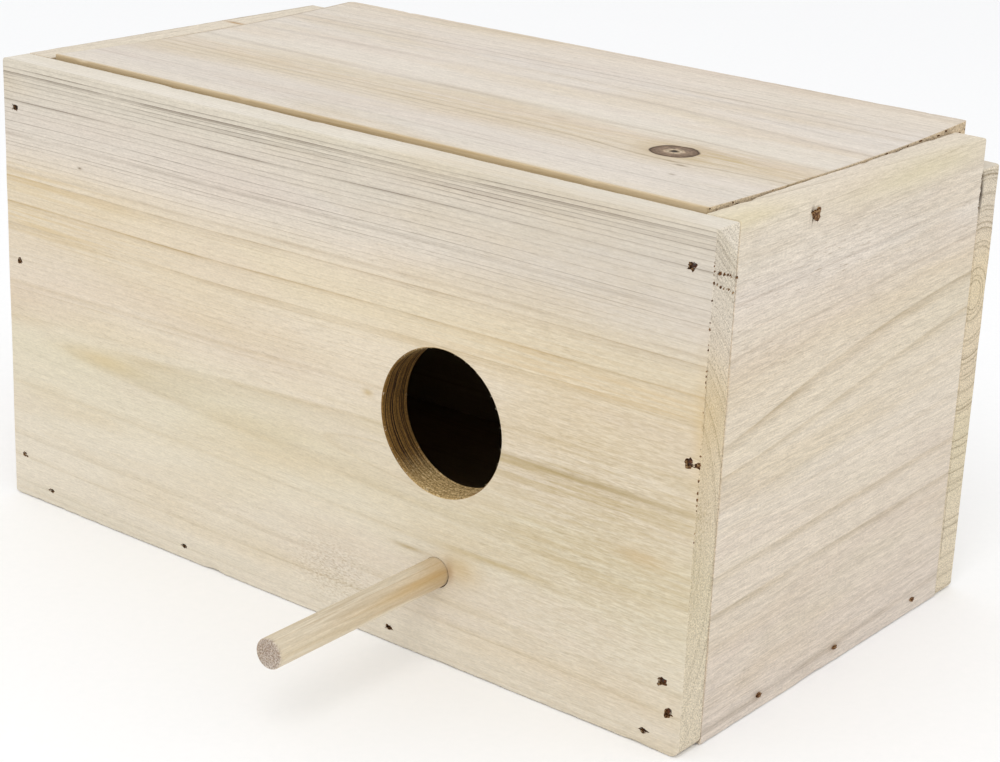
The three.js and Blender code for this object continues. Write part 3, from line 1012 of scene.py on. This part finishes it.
# %% Front brads and fuzz
HAIRS = 90
drive_brads(front, "front", {"brad_front_left": (1.05, 0.95), "brad_front_right": (1.35, 1.3),
                             "brad_front_floor": (1.2, 0.7)})
fuzz = bmesh.new()
dice = random.Random("fuzz")
for _ in range(HAIRS):
    turn = dice.uniform(0, math.tau)
    outward = Vector((math.cos(turn), 0, math.sin(turn)))
    tangent = Vector((-math.sin(turn), 0, math.cos(turn)))
    rear = dice.random() < 0.45
    y = front_high.y - 0.35 if rear else front_low.y + 0.2
    root = Vector((ENTRANCE.x, y, ENTRANCE.z)) + outward * (ENTRANCE_RADIUS + 0.12)
    reach = -outward * dice.uniform(0.1, 0.75) + tangent * dice.uniform(-0.5, 0.5)
    sliver(fuzz, root, root + reach + Vector((0, dice.uniform(-0.3, 0.2), 0)), dice.uniform(0.04, 0.09))
join_shells(front, fuzz)
print("front board faces:", len(front.data.polygons))

# %% [markdown]
# ## Side, back and floor boards
#
# The side boards came from another tree, whose wide rings cross them far apart. On the right one they climb
# to the back over a swell in the grain. The back board holds the pith itself, and its sawn ends show rings
# that close round a centre. The floor lies between them and shows only its underside.
#
# A log that is much like another copies it and restates what differs.

# %% The other boards' logs
RIGHT_LOG = {
    "seed": 11.0, "wander": 1.4, "face": 120, "tilt": 0.35, "span": (0, 131),
    "pith": (20, 84), "lean": (0.0, 0.034), "nearest": 34.0, "ring_width": 2.1, "fibre": 1.4,
    "swells": (((72, 112, 89), (70, 60, 17), 7.5), ((-78, 112, 78), (56, 60, 15), -9.0)),
    "lines": [(14, 0.35, 1), (19.9, 0.6, 2.8), (28.4, 0.5, 3), (40, 0.2, 2), (46.9, 0.25, 2),
              (58, 0.42, 3.4), (68, 0.6, 4.4), (82.3, 0.42, 1.8), (94.3, 0.5, 1.2), (104, 0.25, 1.2)],
    "main": [(0, 0.8), (30, 0.9), (60, 0.9), (85, 1.0), (131, 0.9)],
    "fine": [(0, 0.4), (12, 0.35), (25, 0.2), (60, 0.16), (85, 0.16), (100, 0.26), (131, 0.5)],
    "tones": [(0, "#e3d7ca"), (14, "#e2d5c6"), (30, "#e3d6c4"), (46, "#e7dac8"), (62, "#e8dcca"),
              (80, "#e7dac4"), (97, "#e6d8c3"), (112, "#e7dcce"), (131, "#e7dbc8")],
    "inks": [(0, "#9b8a78"), (20, "#a89572"), (70, "#ab9362"), (90, "#a3895c"), (110, "#a18c78"),
             (131, "#a8967e")],
    "end_shade": "#fcf7ee", "end_rings": 0.45,
}
LEFT_LOG = dict(RIGHT_LOG, seed=23.0, face=-120, pith=(60, -170), nearest=55.0, swells=(),
                lean=(0.03, -0.01))
BACK_LOG = dict(
    FRONT_LOG, seed=31.0, face=68, pith=(86.5, 60.5), lean=(0.004, 0.01), nearest=1.0, ring_width=3.6,
    tilt=0.0,
    lines=[(4.1, 0.95, 0.8), (7.5, 0.6, 0.7), (12.9, 0.9, 0.9), (19.4, 0.95, 0.9), (23.8, 0.8, 0.8),
           (27.2, 0.95, 0.8), (32.4, 0.9, 0.9), (44, 0.7, 1.2), (55, 0.7, 1.2), (68, 0.7, 1.2)],
    main=[(0, 0.8), (131, 1.0)], fine=[(0, 0.3), (131, 0.4)], end_shade="#fdf9f0", end_rings=1.0,
)
FLOOR_LOG = dict(FRONT_LOG, seed=47.0, face=0, pith=(-10, -60), span=(-68, 68), nearest=48.0,
                 main=[(-68, 0.7), (68, 0.8)], fine=[(-68, 0.3), (68, 0.4)], tilt=0.2,
                 tones=[(-68, "#e0d3bb"), (-20, "#e5d8c0"), (25, "#e3d4b8"), (68, "#dfd2bf")],
                 inks=[(-68, "#b39b70"), (68, "#a9926c")])

# %% [markdown]
# These boards need no holes, so one function makes each: its wood, its sweep, then gouges and brad pits.


# %% A plain board
SIDE_SIZES = (0.8, 0.5)  # half the length and half the height of the pits of the floor brads
NAIL_SIZES = (1.25, 1.45)  # the same for the two lid nails


def plain_board(name, node, lie, log, brads, marks=(), hollows=(), **shape):
    """A board with its own wood and its torn brad pits. brads maps a face to its pits' sizes."""
    wood = softwood(f"planed_softwood_{name}", lie, log, marks)
    board = swept_board(f"{name}_board_planed", node, lie, [wood, torn], **shape)
    if hollows:
        gouge(board, hollows)
    for face, sizes in brads.items():
        drive_brads(board, face, sizes)
    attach(board, "box")
    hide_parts(node)
    return board


# %% [markdown]
# The back board is lower than the sides. Just below its top, the saw tore a centimetre of the right side
# board's back arris, and a dark gap shows there between the two boards.

# %% Right side board
side_high = box_mm("right_side_board")[1]
gap_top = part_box("back_board")[1].z / MM - 1.5
ARRIS_TEARS = 12
ARRIS_STEP = 0.95
dice = random.Random("torn arris")
arris_places = []
for step in range(ARRIS_TEARS):
    place = Vector((side_high.x - 0.4, side_high.y, gap_top - ARRIS_STEP * step + dice.uniform(-0.3, 0.3)))
    arris_places.append((place, (dice.uniform(1.4, 2.2), dice.uniform(0.5, 0.95), dice.uniform(0.6, 1.0))))
plain_board(
    "right_side", "right_side_board", "side", RIGHT_LOG,
    {"right": {"brad_right_floor": SIDE_SIZES, "lid_nail_right": NAIL_SIZES}},
    marks=(
        # dirt at two brads near the floor, then yellow sapwood along the top
        spot((2.8, 120, 4.3), (3, 2, 1.4), "#a18d74", 0.5),
        spot((-33.7, 120, 4.3), (2.2, 2, 1.2), "#8f7b62", 0.4),
        spot((24, 120, 128), (40, 4, 4), "#dbd0a0", 0.35),
        spot((-56, 118, 131), (20, 9, 2.4), "#ddd2a0", 0.3),
    ),
    hollows=arris_places, easing=0.55, end_easing=0.4,
)

# %% [markdown]
# The other three boards follow. The left one has a brown mark on its top edge. The back one has painted
# shade, nearly black, where the torn arris leaves a gap, and three of its corners are worn.

# %% Left side, back and floor boards
plain_board(
    "left_side", "left_side_board", "side", LEFT_LOG,
    {"left": {"brad_left_floor": SIDE_SIZES, "lid_nail_left": NAIL_SIZES}},
    marks=(spot((18, -114, 131), (1.0, 4.5, 3), "#ab8452", 0.85),),
    easing=0.55, end_easing=0.4,
)
plain_board(
    "back", "back_board", "front", BACK_LOG,
    {"back": {"brad_back_left": (1.15, 1.1), "brad_back_right": (1.3, 1.2), "brad_back_floor": (1.2, 0.75)}},
    # painted shade: nearly black in the gap behind the torn arris of the side board
    marks=(spot((side_high.x, side_high.y, gap_top - 5), (3, 0.9, 5), "#2b190c", 0.95),),
    easing=0.8, end_easing=0.6, worn=((1, 1, 1.4), (-1, 1, 1.6), (1, -1, 1.4)),
)
plain_board("floor", "floor_board", "flat", FLOOR_LOG, {}, easing=0.5, end_easing=0.4)

# %% [markdown]
# ## Lid
#
# The lid is one board that has cupped: damp from below has lifted its long edges, and it rests on the back
# board. The sweep is the same, bent over a large circle.

# %% The lid's cup
LID_CUP_RADIUS = 1500
LID_CUP_MIDDLE = -4
lid_low, lid_high = box_mm("lid")
cup_rise = LID_CUP_RADIUS - math.sqrt(LID_CUP_RADIUS ** 2 - (lid_high.y - LID_CUP_MIDDLE) ** 2)
lid_middle = lid_high.z - cup_rise - BOARD / 2


def lid_cup(y):
    """Height of the middle of the lid's thickness at a place from front to back."""
    return lid_middle + LID_CUP_RADIUS - math.sqrt(LID_CUP_RADIUS ** 2 - (y - LID_CUP_MIDDLE) ** 2)


# %% [markdown]
# The lid's grain arches, and near the right end the rings part round a knot the width of a finger. A few
# short dark dashes lie in front of it. The front edge is tan and streaked, and a brown line of painted shade
# follows the left end, where it meets the side board.

# %% The lid's wood
KNOT = (72.7, lid_high.z, -16.1)
KNOT_RADIUS = 6.2
LID_LOG = {
    "seed": 62.0, "wander": 1.6, "face": 131, "tilt": 0.3, "span": (-60, 68),
    "pith": (11.5, 70), "lean": (0.004, -0.002), "nearest": 59.0, "ring_width": 2.6, "fibre": 1.0,
    # inside: the lid's underside is darkened less, partly sawn colour, partly painted shade
    "inside": 0.4, "swells": (((112, 131, 20), (52, 60, 16), -9.0), ((-120, 131, 24), (40, 60, 14), -3.0)),
    "knot": (KNOT, KNOT_RADIUS),
    "lines": [(21.2, 0.7, 2), (27.5, 0.4, 1.4), (32.9, 0.45, 1.4), (36.9, 0.55, 1.6), (39.5, 0.3, 1),
              (53.8, 0.35, 1), (57.3, 0.55, 1.4), (63.9, 0.4, 1)],
    "main": [(-60, 0.8), (-30, 0.9), (-10, 0.8), (15, 0.8), (40, 0.7), (68, 0.8)],
    "fine": [(-60, 0.3), (-40, 0.2), (-26, 0.4), (-12, 0.35), (-4, 0.06), (24, 0.06), (34, 0.25), (50, 0.4),
             (68, 0.55)],
    "tones": [(-60, "#e4dacb"), (-44, "#e1d8cd"), (-32, "#e0d6ca"), (-22, "#dfd3c1"), (-12, "#e2d6c6"),
              (0, "#e4dbce"), (22, "#e4dacd"), (40, "#e2d9cf"), (56, "#e3d8ca"), (68, "#e3d6c5")],
    "inks": [(-60, "#a3937e"), (-36, "#9a8b7a"), (-20, "#9e8a6c"), (0, "#a08f7c"), (40, "#9d8f7f"),
             (68, "#a5927a")],
    "end_shade": "#f3e8d2", "end_rings": 0.5,
}
lid_wood = softwood("planed_softwood_lid", "flat", LID_LOG, (
    streaks((84, lid_high.z, -14), (16, 6, 7), "#b59f6c", 0.8),
    streaks((0, 131, -15), (150, 8, 9), "#c9b48c", 0.4),
    spot((82, lid_high.z, -27), (1.8, 3, 0.7), "#75603f", 0.85),
    spot((78, lid_high.z, -25.5), (2.2, 3, 0.5), "#87714f", 0.7),
    spot((86, lid_high.z, -36.5), (1.0, 3, 0.5), "#7d684a", 0.7),
    spot((30, lid_high.z, -8), (2.4, 3, 0.7), "#a08a68", 0.4),
    spot((0, 128, lid_low.y), (400, 9, 0.85), "#c8b188", 1.0),
    streaks((0, 128, lid_low.y), (400, 9, 0.8), "#a18556", 0.35, 30, 0.8),
    # painted shade: a brown line along the left end, for the gap to the side board
    spot((lid_low.x, lid_high.z, 35), (0.8, 6, 45), "#86693f", 0.75),
    knot(KNOT, KNOT_RADIUS),
))

# %% [markdown]
# The lid's right end was sawn roughly, and small tufts broke out of its upper half all the way across. Its
# left back corner is the most worn.

# %% Sweep the lid
END_TEARS = 80
lid = swept_board("lid_planed", "lid", "flat", [lid_wood, torn], easing=0.3, end_easing=0.3, cup=lid_cup,
                  worn=((-1, 1, 3.0), (1, 1, 1.2), (1, -1, 0.8)))
dice = random.Random("lid end")
lid_places = []
for step in range(END_TEARS):
    across = lid_low.y + (lid_high.y - lid_low.y) * (step + dice.uniform(0.2, 0.8)) / END_TEARS
    place = Vector((lid_high.x + 0.05, across, lid_cup(across) + BOARD / 2 - dice.uniform(0.2, 4.0)))
    size = dice.uniform(0.12, 0.34)
    lid_places.append((place, (size, size * dice.uniform(1.2, 4.0), size)))
gouge(lid, lid_places)
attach(lid, "lid")
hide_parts("lid")

# %% [markdown]
# ## Perch
#
# The perch is 8 mm dowel, turned from a different, yellower stick. A brown streak runs out along it from the
# board, its underside carries a pale painted highlight, and the sawn tip is speckled. The marks are placed
# by how far they lie from the front board, or at the tip.

# %% The perch's wood
PERCH_LOG = dict(
    FRONT_LOG, seed=71.0, face=43.4, wander=0.3, tilt=0.4, span=(18, 30), pith=(10, 60),
    lean=(0.0, 0.012), nearest=5.0, ring_width=1.5, lines=[(11.6, 0.5, 1.0), (17, 0.5, 1.4)],
    main=[(18, 0.5), (30, 0.5)], fine=[(18, 0.5), (30, 0.4)],
    tones=[(18, "#d2bf98"), (22, "#d8c6a3"), (25, "#dccdb1"), (28, "#e0d5c0"), (30, "#e2d8c4")],
    inks=[(18, "#ad8850"), (30, "#b89a6c")], end_shade="#d9d4cf", end_rings=0.3,
)
perch_wood = softwood("turned_dowel", "side", PERCH_LOG, (
    streaks((front_low.y - 14, PERCH_BASE.x, PERCH_BASE.z + 0.4), (18, 6, 2.0), "#b58840", 0.95, 30, 1.6),
    spot((front_low.y - 13, PERCH_BASE.x + 3.6, PERCH_BASE.z + 1.2), (17, 4, 1.5), "#c0984a", 0.55),
    # painted highlight: the underside of the dowel made pale, as if lit from below
    spot((front_low.y - 34, PERCH_BASE.x, PERCH_BASE.z - 4.8), (34, 7, 1.7), "#f4f1ec", 0.8),
    streaks((front_low.y - 30, PERCH_BASE.x + 1, PERCH_BASE.z - 2.4), (60, 5, 1.6), "#efe8da", 0.7, 30, 1.2),
    streaks((front_low.y - 38, PERCH_BASE.x, PERCH_BASE.z + 2), (24, 5, 4), "#b5a180", 0.6, 20, 0.8),
    spot((front_low.y - 1, PERCH_BASE.x, PERCH_BASE.z), (8, 6, 6), "#ae8b4e", 0.75),
    spot((perch_low.y, PERCH_BASE.x, PERCH_BASE.z - 1), (0.5, 9, 9), "#c9b9b4", 0.55),
    streaks((perch_low.y, PERCH_BASE.x, PERCH_BASE.z - 1), (0.8, 9, 9), "#7d6858", 0.85, 0.5, 0.42),
    # wool at the tip, with painted shade and painted highlight in its specks
    woolly_patch((perch_low.y, PERCH_BASE.x, PERCH_BASE.z - 1), (0.8, 9, 9), 0.6),
))

# %% [markdown]
# The dowel runs through the front board and droops a little. It is swept like a board but with a round
# section that wavers by a few hundredths, and its tip is sawn off square and roughly eased.

# %% Sweep the perch
DROOP = math.radians(1.1)
PERCH_SIDES = 40
shape = bmesh.new()
rings = []
perch_length = (perch_high.y - perch_low.y) / math.cos(DROOP)
direction = Vector((0, -math.cos(DROOP), -math.sin(DROOP)))
inner_end = Vector((PERCH_BASE.x, perch_high.y, PERCH_BASE.z + BOARD * math.tan(DROOP)))
sideways, upward = Vector((1, 0, 0)), Vector((0, -math.sin(DROOP), math.cos(DROOP)))
for place, inset in stations(perch_length - 0.2, 0.6):
    run = place + perch_length / 2
    ring = []
    for i in range(PERCH_SIDES):
        turn = math.tau * i / PERCH_SIDES
        waver = noise.noise(Vector((run * 0.05, math.cos(turn) * 0.7, math.sin(turn) * 0.7)))
        radius = PERCH_RADIUS * (1 + 0.012 * waver) - 0.05 - inset
        radial = sideways * math.cos(turn) + upward * math.sin(turn)
        ring.append(shape.verts.new((inner_end + direction * run + radial * radius) * MM))
    rings.append(ring)
skin(shape, rings)
perch = finish_piece("perch_dowel", shape, [perch_wood])
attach(perch, "box")
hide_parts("perch")
print("perch sticks out, mm:", round(front_low.y - perch_low.y, 1))

# %% [markdown]
# ## Brads and lid nails
#
# The fasteners keep the frame's shapes: little shows but a head at the bottom of its pit. They are uncoated
# drawn steel in damp wood, so a brown bloom of rust covers most of the metal. Rust is not a metal to the
# eye, so the shader's metallic value falls where the bloom lies.


# %% Rusting steel
def rusting_steel():
    """Uncoated drawn steel with a bloom of rust, in patches about 0.4 mm across."""
    material, tree, shader = new_material("uncoated_steel_rusting")
    place = add(tree, "TexCoord", (), "Object")
    patch = add(tree, "TexNoise", {"Vector": place, "Scale": 1.2 / MM, "Detail": 4.0}, "Fac")
    bloom = add(tree, "MapRange", (patch, 0.30, 0.5))
    rust = add(tree, "ValToRGB", (patch,), stops=[
        (0.3, "#2c170d"), (0.55, "#5a321b"), (0.75, "#7d4c2a")])
    colour = tint(tree, "#6f6a64", rust, bloom)
    metal = add(tree, "MapRange", {0: bloom, 3: 1.0, 4: 0.0})
    rough = add(tree, "MapRange", {0: bloom, 3: 0.38, 4: 0.85})
    bump = add(tree, "Bump", {"Height": patch, "Strength": 0.4, "Distance": 0.05 * MM})
    plug(shader, {"Base Color": colour, "Metallic": metal, "Roughness": rough, "Normal": bump})
    return material


steel = rusting_steel()
fasteners = [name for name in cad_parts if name.startswith(("brad_", "lid_nail_"))]
for name in fasteners:
    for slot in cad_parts[name].material_slots:
        slot.material = steel
print("steel fasteners:", len(fasteners))

# %% [markdown]
# ## Floor and light
#
# Bare wood shows best in light that comes from all round: shadows stay soft, and the grain is read by its
# colour. The world is a plain white sky. One large soft lamp, high up in front and to the right, gives the
# faces a little shape, and a white floor lifts the underside.


# %% Floor
def floor_paint():
    """Matt white emulsion, rolled: a very fine orange peel."""
    material, tree, shader = new_material("matt_white_paint")
    place = add(tree, "TexCoord", (), "Object")
    peel = add(tree, "TexNoise", {"Vector": place, "Scale": 0.4 / MM, "Detail": 2.0}, "Fac")
    bump = add(tree, "Bump", {"Height": peel, "Strength": 0.05, "Distance": 0.1 * MM})
    colour = add(tree, "ValToRGB", (peel,), stops=[(0, "#f9fafb"), (1, "#fdfdfe")])
    plug(shader, {"Base Color": colour, "Normal": bump, "Roughness": 0.9, "Specular IOR Level": 0.2})
    return material


FLOOR_REACH = 6000
FLOOR_DROP = 0.15  # mm below the box, so that the two never share a plane
ground = bmesh.new()
bmesh.ops.create_grid(ground, x_segments=2, y_segments=2, size=FLOOR_REACH * MM)
for vert in ground.verts:
    vert.co.z = -FLOOR_DROP * MM
floor = finish_piece("studio_floor", ground, [floor_paint()])

# %% [markdown]
# The lamp is a disc nearly a metre wide, aimed at the middle of the box. The sky does most of the lighting.

# %% Lamp and sky
SKY_STRENGTH = 0.935
LAMP_WATTS = 5
LAMP_SIZE = 900
LAMP_PLACE = Vector((500, -900, 1200))
BOX_MIDDLE = Vector((0, 0, 60))
lamp = bpy.data.objects.new("softbox", bpy.data.lights.new("softbox", "AREA"))
lamp.data.shape = "DISK"
lamp.data.size = LAMP_SIZE * MM
lamp.data.energy = LAMP_WATTS
lamp.location = LAMP_PLACE * MM
lamp.rotation_euler = (BOX_MIDDLE * MM - lamp.location).to_track_quat("-Z", "Y").to_euler()
bpy.context.collection.objects.link(lamp)

sky = bpy.data.worlds.new("white_sky")
sky.use_nodes = True
plug(sky.node_tree.nodes["Background"], {"Color": "#ffffff", "Strength": SKY_STRENGTH})
bpy.context.scene.world = sky
bpy.context.scene.view_settings.view_transform = "Standard"
print("lamp, W:", lamp.data.energy)
